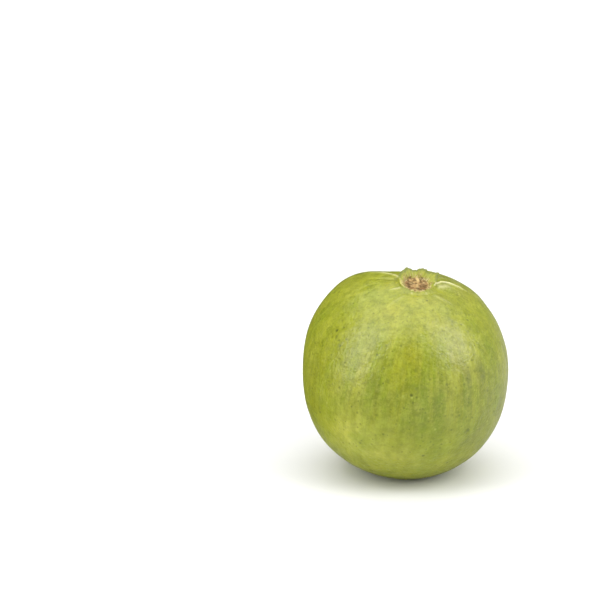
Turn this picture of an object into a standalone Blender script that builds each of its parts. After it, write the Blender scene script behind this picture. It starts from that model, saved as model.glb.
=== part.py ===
"""A whole guava, as picked, resting on a small flat spot beside its stem end.

Run with: blender --background --python part.py
Units are metres, +Z is up, and the origin lies in the spot that the fruit rests on, under the
middle of the body.

The fruit is one grown solid. A profile is turned round the fruit's own axis, from the middle of the
calyx to the middle of the stem scar. The turned body is then shaped by hand: the crown is brought
down to five worn lobes, ribs run out from them, and a few broad swells and hollows make the outline
uneven. Last, the fruit is leaned over and its underside is cut flat where it rests.
"""

import math

import bpy
from mathutils import Euler, Vector

# The body
BELLY_RADIUS = 0.0387  # from the axis to the skin, half way up
POLE_RADIUS = 0.0388  # from the body's centre to the skin at either end
SQUARENESS = 2.25  # exponent of the body's superellipse: 2 is a plain ellipse
BELLY_STEPS = 26  # profile points between the crown and the stem dimple
TURN_STEPS = 64  # faces round the axis

# The calyx end
DISC_RADIUS = 0.0046  # the corky disc inside the crown
DISC_SINK = 0.0002  # how far the middle of the disc lies below the skin's top
DISC_RIM = 0.0005  # height of the tan ring round the disc, above its middle
CROWN_SINK = 0.0002  # how far the crown's inner foot lies below that ring
CROWN_FOOT_INSIDE = 0.0051
CROWN_TOP_INSIDE = 0.0057
CROWN_TOP_OUTSIDE = 0.0066
CROWN_FOOT_OUTSIDE = 0.0080
CROWN_ROUNDING = 0.0003  # drop of a lobe's two top edges below its middle
LOBE_FLARE = 0.30  # outward lean of a lobe, as a share of its height
NOTCH_HEIGHT = 0.0005  # of the crown where no lobe stands
LOBES = (
    (30, 0.0031, 42),
    (70, 0.0035, 42),
    (118, 0.0036, 48),
    (178, 0.0012, 45),
    (285, 0.0006, 60),
)  # turn round the axis, height and half width, in degrees and metres
LOBE_FULLNESS = 1.2  # nearer to 1 is rounder, higher is more pointed

# The ribs that run out from the lobes
RIB_HEIGHT = 0.0004
RIB_ANGLE = 20  # degrees from the calyx, where a rib is highest
RIB_SPREAD = 14
RIB_START = 0.0050  # from the axis, where the ribs begin to rise
RIB_RUN = 0.0040

# The stem end
DIMPLE_RADIUS = 0.0065
DIMPLE_DEPTH = 0.0013
DIMPLE_SHARES = (0.8, 0.6, 0.45)  # of the dimple's radius, where its slope has profile points
SCAR_RADIUS = 0.0024
SCAR_RISE = 0.0004  # how far the corky scar stands out of the dimple's floor

# Broad uneven growth; a negative height is a hollow
SWELLS = (
    (50, 142, 0.0020, 19),
    (68, 170, 0.0014, 24),
    (33, 106, -0.0020, 13),
    (60, 15, -0.0006, 18),
)  # angle from the calyx, turn round the axis, height and spread, in degrees and metres

# How the fruit rests
LEAN = Euler((math.radians(12.7), math.radians(4.8), 0.0))  # the calyx leans to -Y and +X
SPOT_DEPTH = 0.0010  # how deep the resting spot is cut into the round underside

SKIN_COLOUR = (0.33, 0.37, 0.03, 1.0)
SKIN_ROUGHNESS = 0.45


def clear_scene():
    """Removes what the startup file holds."""
    for obj in list(bpy.data.objects):
        bpy.data.objects.remove(obj)


def new_collection(name):
    """A collection linked to the scene."""
    collection = bpy.data.collections.new(name)
    bpy.context.scene.collection.children.link(collection)
    return collection


def body_radius(angle):
    """Distance from the body's centre to the skin, at this angle from the calyx."""
    across = abs(math.sin(angle) / BELLY_RADIUS) ** SQUARENESS
    along = abs(math.cos(angle) / POLE_RADIUS) ** SQUARENESS
    return (across + along) ** (-1 / SQUARENESS)


def skin_height(radius):
    """Height of the plain body's skin above its centre, this far from the axis."""
    share = (radius / BELLY_RADIUS) ** SQUARENESS
    return POLE_RADIUS * (1 - share) ** (1 / SQUARENESS)


def eased(share):
    """0 to 1, level at both ends."""
    share = min(max(share, 0.0), 1.0)
    return share * share * (3 - 2 * share)


def disc_height():
    """Height of the disc's middle above the body's centre."""
    return skin_height(0) - DISC_SINK


def crown_foot():
    """Height of the crown's inner foot above the body's centre."""
    return disc_height() + DISC_RIM - CROWN_SINK


def tallest_lobe():
    """Height of the tallest lobe above the crown's inner foot."""
    return max(height for turn, height, half_width in LOBES)


def crown_profile():
    """The calyx from its middle outwards, as tall all round as the tallest lobe."""
    disc = disc_height()
    top = crown_foot() + tallest_lobe()
    shoulder = (CROWN_TOP_OUTSIDE + CROWN_FOOT_OUTSIDE) / 2
    skin = skin_height(CROWN_FOOT_OUTSIDE)
    return [
        (0.0, disc),
        (DISC_RADIUS / 2, disc),
        (DISC_RADIUS * 0.8, disc + DISC_RIM * 0.3),
        (DISC_RADIUS, disc + DISC_RIM),
        (CROWN_FOOT_INSIDE, crown_foot()),
        (CROWN_TOP_INSIDE, top - CROWN_ROUNDING),
        ((CROWN_TOP_INSIDE + CROWN_TOP_OUTSIDE) / 2, top),
        (CROWN_TOP_OUTSIDE, top - CROWN_ROUNDING),
        (shoulder, (top + skin) / 2),
        (CROWN_FOOT_OUTSIDE, skin),
    ]


def belly_profile():
    """The skin from just outside the crown down to the edge of the stem dimple."""
    first = math.atan2(CROWN_FOOT_OUTSIDE * 1.3, POLE_RADIUS)
    last = math.pi - math.atan2(DIMPLE_RADIUS, POLE_RADIUS)
    points = []
    for step in range(BELLY_STEPS + 1):
        angle = first + (last - first) * step / BELLY_STEPS
        radius = body_radius(angle)
        points.append((radius * math.sin(angle), radius * math.cos(angle)))
    return points


def stem_profile():
    """The dimple and the scar in its middle, ending on the axis."""
    points = []
    for share in DIMPLE_SHARES:
        radius = DIMPLE_RADIUS * share
        sink = DIMPLE_DEPTH * eased((1 - share) / (1 - min(DIMPLE_SHARES)))
        points.append((radius, sink - skin_height(radius)))
    floor = DIMPLE_DEPTH - skin_height(0)
    points.append((SCAR_RADIUS, floor))
    points.append((SCAR_RADIUS * 0.85, floor - SCAR_RISE))
    points.append((SCAR_RADIUS * 0.4, floor - SCAR_RISE * 0.7))
    points.append((0.0, floor - SCAR_RISE / 2))
    return points


def turned_body(collection):
    """The profile turned round the fruit's axis, as a plain mesh."""
    outline = crown_profile() + belly_profile() + stem_profile()
    mesh = bpy.data.meshes.new("profile")
    mesh.from_pydata(
        [(radius, 0.0, height) for radius, height in outline],
        [(i, i + 1) for i in range(len(outline) - 1)],
        [],
    )
    profile = bpy.data.objects.new("profile", mesh)
    collection.objects.link(profile)
    screw = profile.modifiers.new("turn", "SCREW")
    screw.steps = screw.render_steps = TURN_STEPS
    screw.use_merge_vertices = True
    screw.merge_threshold = 0.00001
    graph = bpy.context.evaluated_depsgraph_get()
    turned = bpy.data.meshes.new_from_object(profile.evaluated_get(graph))
    bpy.data.objects.remove(profile)
    return turned


def bump(turn, middle, half_width):
    """1 at the middle of a lobe, falling smoothly to 0 at its half width. Angles in degrees."""
    away = abs((turn - middle + 180) % 360 - 180) / half_width
    return (1 - min(away, 1.0) ** 2) ** LOBE_FULLNESS


def crown_height(turn):
    """Height of the crown above its inner foot, at this turn round the axis."""
    rises = [
        (height - NOTCH_HEIGHT) * bump(turn, middle, half_width)
        for middle, height, half_width in LOBES
    ]
    return NOTCH_HEIGHT + max(rises)


def rib_rise(angle, turn, radius):
    """How far the skin stands up along the ribs, or sinks between them."""
    along = math.exp(-(((angle - RIB_ANGLE) / RIB_SPREAD) ** 2))
    around = max(bump(turn, middle, half_width) for middle, height, half_width in LOBES)
    return RIB_HEIGHT * along * (2 * around - 1) * eased((radius - RIB_START) / RIB_RUN)


def swell_rise(direction):
    """How far the broad swells and hollows move the skin, in this direction from the centre."""
    rise = 0.0
    for angle, turn, height, spread in SWELLS:
        turned = Euler((0, math.radians(angle), math.radians(turn))).to_matrix()
        away = direction.angle(turned @ Vector((0, 0, 1)))
        rise += height * math.exp(-((away / math.radians(spread)) ** 2))
    return rise


def shaped(point):
    """A point of the turned body, moved to where the fruit grew."""
    radius = math.hypot(point.x, point.y)
    around = math.atan2(point.y, point.x)
    turn = math.degrees(around)
    foot = crown_foot()
    if CROWN_FOOT_INSIDE < radius < CROWN_FOOT_OUTSIDE and point.z > foot:
        share = (point.z - foot) / tallest_lobe()
        height = share * crown_height(turn)
        lean = Vector((math.cos(around), math.sin(around), 0)) * LOBE_FLARE * height
        point = Vector((point.x, point.y, foot + height)) + lean
    direction = point.normalized()
    angle = math.degrees(direction.angle(Vector((0, 0, 1))))
    return point + direction * (rib_rise(angle, turn, radius) + swell_rise(direction))


def skin_material():
    """Waxy yellow-green skin."""
    material = bpy.data.materials.new("guava_skin")
    material.use_nodes = True
    shader = material.node_tree.nodes["Principled BSDF"]
    shader.inputs["Base Color"].default_value = SKIN_COLOUR
    shader.inputs["Roughness"].default_value = SKIN_ROUGHNESS
    shader.inputs["Metallic"].default_value = 0.0
    return material


def floor_block(collection):
    """A block whose top is the plane that the fruit rests on."""
    side = BELLY_RADIUS * 3
    bpy.ops.mesh.primitive_cube_add(size=side, location=(0, 0, -side / 2))
    block = bpy.context.object
    block.name = "floor_block"
    for old in list(block.users_collection):
        old.objects.unlink(block)
    collection.objects.link(block)
    block.hide_render = True
    block.display_type = "WIRE"
    return block


def build():
    """Makes the guava."""
    clear_scene()
    pieces = new_collection("guava_parts")
    cutters = new_collection("cutters")

    mesh = turned_body(cutters)
    for vertex in mesh.vertices:
        vertex.co = shaped(vertex.co)
    mesh.transform(LEAN.to_matrix().to_4x4())
    lowest = min(vertex.co.z for vertex in mesh.vertices)
    mesh.name = "guava"
    mesh.shade_smooth()
    mesh.materials.clear()
    mesh.materials.append(skin_material())

    fruit = bpy.data.objects.new("guava", mesh)
    fruit.location.z = -lowest - SPOT_DEPTH
    pieces.objects.link(fruit)

    rest = fruit.modifiers.new("resting_spot", "BOOLEAN")
    rest.operation = "DIFFERENCE"
    rest.object = floor_block(cutters)


build()
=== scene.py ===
"""The looks of a whole guava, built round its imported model.

The fruit is one turned and grown mesh: a mottled, waxy, yellow-green skin, a crown of worn calyx
lobes round a corky disc at the top, and a dimple with a dry stalk scar underneath. Short dried
stamens still stand on the disc. Sizes are in metres and angles in degrees unless a name says
otherwise. Places on the fruit are given in its own frame: the angle from the calyx, 0 to 180, and
the turn round the fruit's axis, where 0 is the fruit's right side and 270 its front.
"""

import logging
import math
from dataclasses import dataclass
from enum import Enum

import bmesh
import bpy
import numpy as np
from mathutils import Euler, Matrix, Vector, noise
from mathutils.bvhtree import BVHTree


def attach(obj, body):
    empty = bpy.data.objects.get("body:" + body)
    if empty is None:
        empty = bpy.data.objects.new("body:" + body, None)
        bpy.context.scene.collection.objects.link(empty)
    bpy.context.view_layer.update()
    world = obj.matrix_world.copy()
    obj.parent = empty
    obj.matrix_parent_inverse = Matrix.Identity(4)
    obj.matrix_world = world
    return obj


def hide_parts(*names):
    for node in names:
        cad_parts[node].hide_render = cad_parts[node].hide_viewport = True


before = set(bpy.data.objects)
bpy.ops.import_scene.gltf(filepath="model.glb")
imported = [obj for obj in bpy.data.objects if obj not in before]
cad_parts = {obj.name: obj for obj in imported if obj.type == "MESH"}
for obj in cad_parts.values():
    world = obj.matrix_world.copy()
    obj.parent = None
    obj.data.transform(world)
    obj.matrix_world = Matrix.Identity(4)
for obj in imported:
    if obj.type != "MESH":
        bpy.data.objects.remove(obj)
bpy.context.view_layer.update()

LOG = logging.getLogger("guava")
FRUIT_NODE = "guava"
WELD = 1e-7  # doubled points on the fruit's axis and at the seam are closer than this
BLACK = (0.0, 0.0, 0.0)
Colour = tuple[float, float, float]
Range = tuple[float, float]
Amount = float | np.ndarray
Socket = bpy.types.NodeSocket
Profile = list[tuple[float, float, float]]  # radius, height and share of the crown's wall


class Mask(Enum):
    """What a point of the fruit belongs to. Each is a 0 to 1 attribute that the skin reads."""

    LOBE = "lobe"
    EDGE = "lobe_edge"
    FOOT = "lobe_foot"
    RIM = "rim"
    DISC = "disc"
    BROWN = "disc_brown"
    STRAW = "disc_straw"
    # painted shade in the disc's pits and grain hollows, over dark dried tissue
    HOLLOW_SHADE = "char"
    # painted highlight along the ridges' crests, over skin worn pale
    CREST_HIGHLIGHT = "crest_highlight"
    SCAR = "scar"
    GIRTH = "girth"
    CALM = "calm"


class Tint(Enum):
    """The broad tones that lie over the skin. Each is a 0 to 1 attribute as well. Some patches are
    painted light: a yellow and an olive one lay painted shade down the fruit's left side, and some
    pale ones and all beige ones lay painted sheen and painted bounce light.
    """

    YELLOW_AND_SIDE_SHADE = "tint_yellow_and_side_shade"
    GREEN = "tint_green"
    GREY = "tint_grey"
    OLIVE_AND_SIDE_SHADE = "tint_olive_and_side_shade"
    PALE_AND_SHEEN = "tint_pale_and_sheen"
    PAINTED_SHEEN = "tint_painted_sheen"
    WARM = "tint_warm"


class Own(Enum):
    """The coordinates that the fruit's mesh carries: its points unleaned, and its meridians."""

    PLACE = "place"
    MERIDIAN = "meridian"


class Cork(Enum):
    """What a place on the corky disc looks like."""

    PIT = "pit"
    BROWN = "brown"
    STRAW = "straw"


@dataclass(frozen=True)
class Swell:
    """A broad rise of the body, or a hollow where the height is negative."""

    angle: float
    turn: float
    height: float
    spread: float


@dataclass(frozen=True)
class Lobe:
    """One worn lobe of the calyx crown. The flare is how far its tip leans out per height."""

    turn: float
    height: float
    half_width: float
    flare: float


@dataclass(frozen=True)
class Ridge:
    """A narrow raised line on the skin, or a groove where the height is negative.

    Its route is a few places, each an angle from the calyx and a turn, from the calyx outwards.
    """

    route: tuple[Range, ...]
    height: float
    width: float
    # how strongly a painted highlight lies along the ridge's top
    paleness: float


@dataclass(frozen=True)
class CorkMark:
    """A pit, a hollow or a ridge on the disc: its place, its half sizes and its height."""

    side: float
    back: float
    half_width: float
    half_length: float
    height: float


@dataclass(frozen=True)
class Patch:
    """A broad soft-edged tone on the skin: its place, its reach both ways and its strength."""

    angle: float
    turn: float
    along: float
    across: float
    strength: float


@dataclass(frozen=True)
class Blemish:
    """A small mark on the skin: its place, its radius and how strongly it shows."""

    angle: float
    turn: float
    radius: float
    strength: float


def eased(value: Amount, start: float = 0.0, end: float = 1.0) -> Amount:
    """The value brought smoothly from 0 at the start to 1 at the end."""
    share = np.clip((value - start) / (end - start), 0.0, 1.0)
    return share * share * (3 - 2 * share)


def bell(away: Amount, spread: float) -> Amount:
    """1 in the middle, and a good third of that at the spread."""
    return np.exp(-((away / spread) ** 2))


def shares(count: int, start: int = 1) -> list[float]:
    """The even steps from start / count to 1."""
    return [step / count for step in range(start, count + 1)]


def turn_between(first: np.ndarray, second: Amount) -> np.ndarray:
    """The smaller way round from the second turn to the first, from -180 to 180 degrees."""
    return (first - second + 180) % 360 - 180


def polar(points: np.ndarray) -> tuple[np.ndarray, np.ndarray]:
    """How far each point is from the fruit's axis, and its turn in radians."""
    return np.hypot(points[:, 0], points[:, 1]), np.arctan2(points[:, 1], points[:, 0])


def waves(turn: np.ndarray, count: int, waver: np.ndarray) -> np.ndarray:
    """This many waves round the axis, from -1 to 1, put out of step by the waver."""
    return np.cos(np.radians(turn) * count + waver)


def finished(bm: bmesh.types.BMesh, name: str) -> bpy.types.Object:
    """Makes a smooth object at the origin out of a bmesh.

    Args:
        bm: the bmesh, which is freed.
        name: the name of the object and of its mesh.

    Returns:
        The object, linked to the scene.
    """
    for face in bm.faces:
        face.smooth = True
    mesh = bpy.data.meshes.new(name)
    bm.to_mesh(mesh)
    bm.free()
    made = bpy.data.objects.new(name, mesh)
    bpy.context.scene.collection.objects.link(made)
    return made


@dataclass(frozen=True)
class Lumps:
    """Smooth lumpy noise.

    The size is a lump's width. The seed moves the pattern, so that two sets of lumps differ. Each
    finer octave is half as wide and half as strong.
    """

    size: float
    seed: float
    octaves: int = 1

    def at(self, points: np.ndarray) -> np.ndarray:
        """Works out the noise at each point.

        Args:
            points: one row for each point.

        Returns:
            One number for each point, from about -1 to 1.
        """
        total = np.zeros(len(points))
        for octave in range(self.octaves):
            scaled = points * (2**octave / self.size) + self.seed * (octave + 1)
            total += np.array([noise.noise(Vector(row)) for row in scaled]) / 2**octave
        return total


@dataclass(frozen=True)
class FruitForm:
    """The grown shape of the whole fruit, with the sizes that its parts share."""

    belly_radius: float = 0.0387
    pole_radius: float = 0.0388
    squareness: float = 2.25
    lean: Range = (12.7, 4.8)
    spot_depth: float = 0.0010
    disc_radius: float = 0.0046
    disc_sink: float = 0.0002
    disc_rim: float = 0.0005
    crown_sink: float = 0.0002
    crown_inside: float = 0.0049
    crown_top_inside: float = 0.0053
    crown_top_outside: float = 0.0058
    crown_outside: float = 0.0082
    lobe_thickness: float = 0.0006
    notch_height: float = 0.0003
    lobe_fullness: float = 1.2
    least_share: float = 0.001  # keeps the mean flare defined where no lobe stands
    dimple_radius: float = 0.0065
    dimple_depth: float = 0.0013
    scar_radius: float = 0.0024
    scar_rise: float = 0.0004
    rib_height: float = 0.0004
    rib_angle: float = 20
    rib_spread: float = 14
    swells: tuple[Swell, ...] = (
        Swell(50, 142, 0.0020, 19), Swell(68, 170, 0.0014, 24), Swell(33, 106, -0.0020, 13),
        Swell(60, 15, -0.0006, 18), Swell(28, 52, -0.0008, 10),
    )
    lobes: tuple[Lobe, ...] = (
        Lobe(34, 0.0030, 34, 0.75), Lobe(72, 0.0031, 34, 0.35), Lobe(97, 0.0023, 20, 0.35),
        Lobe(121, 0.0031, 34, 0.35), Lobe(147, 0.0023, 32, 0.6), Lobe(178, 0.0011, 42, 0.4),
        Lobe(285, 0.0004, 60, 0.1),
    )

    def skin_height(self, radius: Amount) -> Amount:
        """Height of the plain body's skin above its centre, this far from the axis."""
        share = (radius / self.belly_radius) ** self.squareness
        return self.pole_radius * (1 - share) ** (1 / self.squareness)

    def body_point(self, angle: float) -> Range:
        """Finds a point of the plain skin, before it grows.

        Args:
            angle: the angle from the calyx, seen from the body's centre, in radians.

        Returns:
            The radius from the axis and the height above the body's centre.
        """
        across = abs(math.sin(angle) / self.belly_radius) ** self.squareness
        along = abs(math.cos(angle) / self.pole_radius) ** self.squareness
        reach = (across + along) ** (-1 / self.squareness)
        return reach * math.sin(angle), reach * math.cos(angle)

    def disc_height(self) -> float:
        """Height of the disc's middle above the body's centre."""
        return self.skin_height(0.0) - self.disc_sink

    def crown_base(self, radius: Amount) -> Amount:
        """Height of the surface that the crown stands on, above the body's centre."""
        inner = self.disc_height() + self.disc_rim - self.crown_sink
        outer = self.skin_height(self.crown_outside)
        return inner + (outer - inner) * eased(radius, self.crown_inside, self.crown_outside)

    def lobe_shares(self, turn: np.ndarray) -> np.ndarray:
        """Says how much of each lobe stands at each turn.

        Args:
            turn: turns round the axis, in degrees.

        Returns:
            One row for each lobe, from 0 beside it to 1 at its middle.
        """
        rows = []
        for lobe in self.lobes:
            away = np.minimum(np.abs(turn_between(turn, lobe.turn)) / lobe.half_width, 1)
            rows.append((1 - away**2) ** self.lobe_fullness)
        return np.array(rows)

    def crown_height(self, turn: np.ndarray) -> np.ndarray:
        """Height of the crown above its base, at each turn round the axis."""
        tall = np.array([lobe.height - self.notch_height for lobe in self.lobes])
        return self.notch_height + (self.lobe_shares(turn) * tall[:, None]).max(axis=0)

    def crown_flare(self, turn: np.ndarray) -> np.ndarray:
        """How far the crown leans out for its height, at each turn round the axis."""
        standing = self.lobe_shares(turn) + self.least_share
        flares = np.array([lobe.flare for lobe in self.lobes])
        return (standing * flares[:, None]).sum(axis=0) / standing.sum(axis=0)

    def swell_rise(self, directions: np.ndarray) -> np.ndarray:
        """Adds up what the swells and hollows do to the skin.

        Args:
            directions: unit vectors from the body's centre, one to a row.

        Returns:
            The skin's rise along each of them, in metres.
        """
        rise = np.zeros(len(directions))
        for swell in self.swells:
            turned = Euler((0, math.radians(swell.angle), math.radians(swell.turn)))
            middle = np.array(turned.to_matrix() @ Vector((0, 0, 1)))
            away = np.degrees(np.arccos(np.clip(directions @ middle, -1, 1)))
            rise += swell.height * bell(away, swell.spread)
        return rise

    def lean_matrix(self) -> Matrix:
        """The turn that leans the fruit from its own frame into the row's."""
        return Euler((math.radians(self.lean[0]), math.radians(self.lean[1]), 0.0)).to_matrix()


class Growth:
    """Moves the turned body's points to where the fruit grew, and says what lies where.

    Each step works on all the points at once, in the fruit's own frame.
    """

    ragged_tips = Lumps(0.16, 3.1, 3)
    lobe_folds = Lumps(0.12, 8.7, 2)
    ruffles = Lumps(0.25, 6.6, 3)
    cork_grain = Lumps(0.0011, 5.3, 3)
    scar_cracks = Lumps(0.0008, 2.2, 3)
    scar_waver = Lumps(0.002, 9.0)
    flute_waver = Lumps(0.9, 4.4)
    broad_lumps = Lumps(0.42, 6.1)
    small_lumps = Lumps(0.13, 1.7)
    stem_waver = Lumps(0.2, 7.7)

    height_pace = 60  # how fast the noise round the crown changes with each metre of height
    fold_pace = 0.3  # the same for the lobes' folds, as a share of that
    raggedness = 0.14
    full_lobe = 0.003  # a crown this high curls and folds fully
    top_blend = 0.0005  # how softly the crown's outer side starts at its top
    tip_curl = 0.0006
    foot_thickness = 0.4  # share of the lobes' thickness that is there at their foot
    fold_depth = 0.00018
    fold_share = 1 / 3  # share of the wall's height at which the folds are full
    disc_blend = 0.0006
    star_turn, star_points, star_sway = 262, 11, 2
    star_height, star_full = 0.00008, 0.002
    cork_height = 0.00016
    scar_edge, scar_blend = 0.00276, 0.0004
    scar_points, scar_sway = 7, 3
    crack_depth, scar_star_depth = 0.00025, 0.00010
    rib_reach = (0.005, 0.009)
    ridge_blend = 0.0008
    ridge_start = 2  # degrees over which a ridge rises
    ridge_fade = 0.6  # share of a ridge's length over which it dies away
    flute_count, flute_sway = 13, 4
    flute_angle, flute_spread, flute_height = 38, 20, 0.00007
    skin_reach = (0.00738, 0.01038)
    broad_height, small_height = 0.00022, 0.00007
    stem_folds, stem_sway = 9, 2
    stem_radius, stem_spread, stem_height = 0.0045, 0.0022, 0.0001

    lobe_starts, lobe_shows = 0.5, 0.25  # shares of the wall's height, outside and above
    lobe_height = (0.0005, 0.0013)
    tip_share, tip_height = (0.72, 0.97), (0.0010, 0.0020)
    foot_share = (0.45, 0.05)
    worn_height = (0.0016, 0.0006)  # a lower crown is worn down to its rim
    rim_inside = (0.00414, 0.00454)
    rim_outside, rim_ruffle, rim_blend = 0.0056, 0.0005, 0.0003
    rim_wide = ((200, 16, 0.0003), (265, 30, 0.0004))  # turn, spread and added width
    cork_spread, cork_ruffle, cork_blend = 1.02, 0.07, 0.0004
    # The disc's pits and the low places of its grain are darkened: partly painted shade in these
    # hollows, partly dark dried tissue.
    pit_char, grain_char = 1.3, 0.9
    shaded_grain = (-0.10, -0.35)  # how low in the cork's grain the hollows lie that take painted shade
    streaks_start, streaks_end = (25, 61), (178, 148)
    calm_reach, calming = (74, 102), 0.75  # angles, and the share of streaks that calm skin loses
    quiet_sides = ((345, 32, 0.40), (200, 30, 0.45))  # turn, spread and strength

    ridges = (
        Ridge(
            ((8, 350), (9, 0), (11, 15), (15, 25), (19, 23), (27, 17), (38, 8)),
            0.0006, 0.00075, 1.0,
        ),
        Ridge(((11, 4), (17, 13), (24, 13)), 0.00020, 0.0015, 0.40),
        Ridge(((10, 40), (20, 44), (34, 40)), 0.00035, 0.0009, 0.2),
        Ridge(((9.5, 147), (15, 139), (23, 140), (38, 144)), 0.0004, 0.0007, 0.55),
        Ridge(((12, 160), (19, 159), (27, 162)), -0.00025, 0.0007, 0.0),
        Ridge(((9, 207), (14, 203), (18, 201)), 0.00022, 0.0006, 0.4),
        Ridge(((8, 252), (12.5, 256)), 0.00006, 0.0006, 0.3),
        Ridge(((8, 304), (12.5, 298)), 0.00006, 0.0006, 0.3),
        Ridge(((12, 238), (20, 232), (29, 230)), 0.00014, 0.0010, 0.1),
        Ridge(((11, 318), (20, 326), (31, 330)), 0.00020, 0.0010, 0.1),
        Ridge(((12, 78), (22, 74), (36, 72)), 0.00030, 0.0010, 0.2),
    )
    patches = {
        # The yellow patch at 88, 212 and the olive one at 88, 203 make a darker, saturated band down
        # the fruit's left side: painted shade, with painted green light reflected from beside it.
        Tint.YELLOW_AND_SIDE_SHADE: (
            Patch(88, 212, 27, 14, 1.0), Patch(50, 268, 18, 11, 0.9), Patch(64, 273, 10, 10, 0.4),
            Patch(116, 250, 16, 20, 0.5),
        ),
        Tint.GREEN: (
            Patch(78, 273, 11, 20, 0.85), Patch(88, 286, 13, 18, 0.85), Patch(46, 243, 10, 4.5, 0.9),
            Patch(71, 251, 13, 5, 0.75), Patch(86, 262, 10, 6, 0.4), Patch(74, 290, 6, 6, 0.6),
            Patch(54, 333, 7, 7, 1.0), Patch(40, 201, 6, 9, 0.7), Patch(64, 272, 4, 6, 0.8),
            Patch(74, 277, 5, 5, 0.9), Patch(112, 285, 10, 9, 0.6), Patch(70, 80, 30, 22, 0.7),
            Patch(110, 150, 24, 26, 0.8),
        ),
        Tint.OLIVE_AND_SIDE_SHADE: (
            Patch(80, 352, 30, 16, 0.6), Patch(88, 203, 24, 12, 0.7), Patch(58, 276, 6, 6, 0.8),
            Patch(64, 312, 5, 6, 0.9), Patch(78, 294, 18, 6, 0.5), Patch(69, 262, 6, 4, 0.7),
            Patch(84, 280, 8, 7, 0.4), Patch(108, 258, 6, 8, 0.4), Patch(60, 110, 20, 16, 0.4),
            Patch(22, 50, 11, 20, 0.7),
        ),
        Tint.GREY: (
            Patch(66, 313, 8, 9, 1.3), Patch(74, 303, 13, 12, 0.7), Patch(84, 330, 26, 17, 0.85),
            Patch(100, 308, 12, 9, 0.8), Patch(120, 40, 25, 25, 0.5),
        ),
        # The pale patches at 74, 236, at 92, 241 and at 97, 243 brighten the lower left where the
        # left sheen falls, and the one at 112, 270 brightens the bottom: painted sheen and painted
        # bounce light from the floor.
        Tint.PALE_AND_SHEEN: (
            Patch(9, 160, 4, 22, 1.0), Patch(40, 252, 10, 6, 0.8), Patch(38, 188, 12, 24, 0.45),
            Patch(74, 236, 24, 9, 0.45), Patch(97, 243, 18, 16, 1.0), Patch(92, 241, 14, 7, 0.6),
            Patch(112, 270, 11, 24, 0.7),
        ),
        # Each beige patch lies where a soft box's reflection falls: painted sheen.
        Tint.PAINTED_SHEEN: (
            Patch(46, 297, 14, 15, 1.0), Patch(64, 231, 22, 11, 0.55), Patch(16, 320, 7, 20, 0.5),
            Patch(26, 8, 8, 20, 0.5),
        ),
        Tint.WARM: (
            Patch(14, 170, 7, 40, 0.6), Patch(15, 272, 8, 34, 0.9), Patch(28, 284, 12, 26, 0.5),
            Patch(30, 238, 10, 18, 0.55), Patch(47, 284, 12, 9, 0.7), Patch(60, 229, 10, 8, 0.5),
            Patch(53, 270, 14, 6, 0.35),
        ),
    }
    # The brown marks are hollows and the straw marks raised places on the cork: their dark and pale
    # tones are partly painted shade and painted highlight, partly the dried tissue's own colour.
    cork_marks = {
        Cork.PIT: (
            CorkMark(-0.0024, 0.0043, 0.00060, 0.00070, -0.00040),
            CorkMark(0.0021, 0.0044, 0.00060, 0.00085, -0.00040),
            CorkMark(-0.0003, 0.0012, 0.00055, 0.00060, -0.00035),
            CorkMark(-0.0030, -0.0019, 0.00075, 0.00065, -0.00030),
            CorkMark(0.0028, 0.0001, 0.00090, 0.00080, -0.00040),
            CorkMark(0.0017, -0.0009, 0.00036, 0.00042, -0.00025),
            CorkMark(0.0014, -0.0028, 0.00075, 0.00050, -0.00025),
            CorkMark(0.0032, -0.0032, 0.00055, 0.00045, -0.00025),
            CorkMark(0.0054, 0.0009, 0.00040, 0.00045, -0.00020),
        ),
        Cork.BROWN: (
            CorkMark(-0.0023, -0.0027, 0.0021, 0.0019, -0.00020),
            CorkMark(0.0023, -0.0023, 0.0020, 0.0024, -0.00022),
            CorkMark(-0.0031, 0.0006, 0.0012, 0.0016, -0.00010),
            CorkMark(0.0022, 0.0016, 0.0013, 0.0010, -0.00010),
        ),
        Cork.STRAW: (
            CorkMark(0.0004, 0.0036, 0.0010, 0.0011, 0.00020),
            CorkMark(0.0003, -0.0023, 0.00032, 0.0020, 0.00030),
            CorkMark(-0.0018, 0.0014, 0.0009, 0.0006, 0.00012),
            CorkMark(0.0038, -0.0015, 0.00035, 0.0004, 0.00015),
            CorkMark(0.0002, -0.0004, 0.00040, 0.00045, 0.00030),
            CorkMark(0.0026, 0.0019, 0.0006, 0.0005, 0.00015),
        ),
    }

    def __init__(self, form: FruitForm, plain: np.ndarray, rise: np.ndarray) -> None:
        """Grows the fruit.

        Args:
            form: the fruit's shape.
            plain: the turned body's points.
            rise: each point's share of the crown's wall.
        """
        self.form = form
        self.plain = plain
        self.rise = rise
        self.points = plain.copy()
        self.radius, around = polar(plain)
        self.turn = np.degrees(around) % 360
        self.top = plain[:, 2] > 0
        sides = [np.cos(around), np.sin(around)]
        self.outward = np.stack([*sides, np.zeros_like(around)], -1)
        self.ring = np.stack([*sides, plain[:, 2] * self.height_pace], -1)
        self.ruffle = self.ruffles.at(self.ring)
        self.shades: dict[Cork, np.ndarray] = {}
        self.grow_crown()
        self.grow_disc()
        self.grow_scar()
        self.grow_skin()

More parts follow.
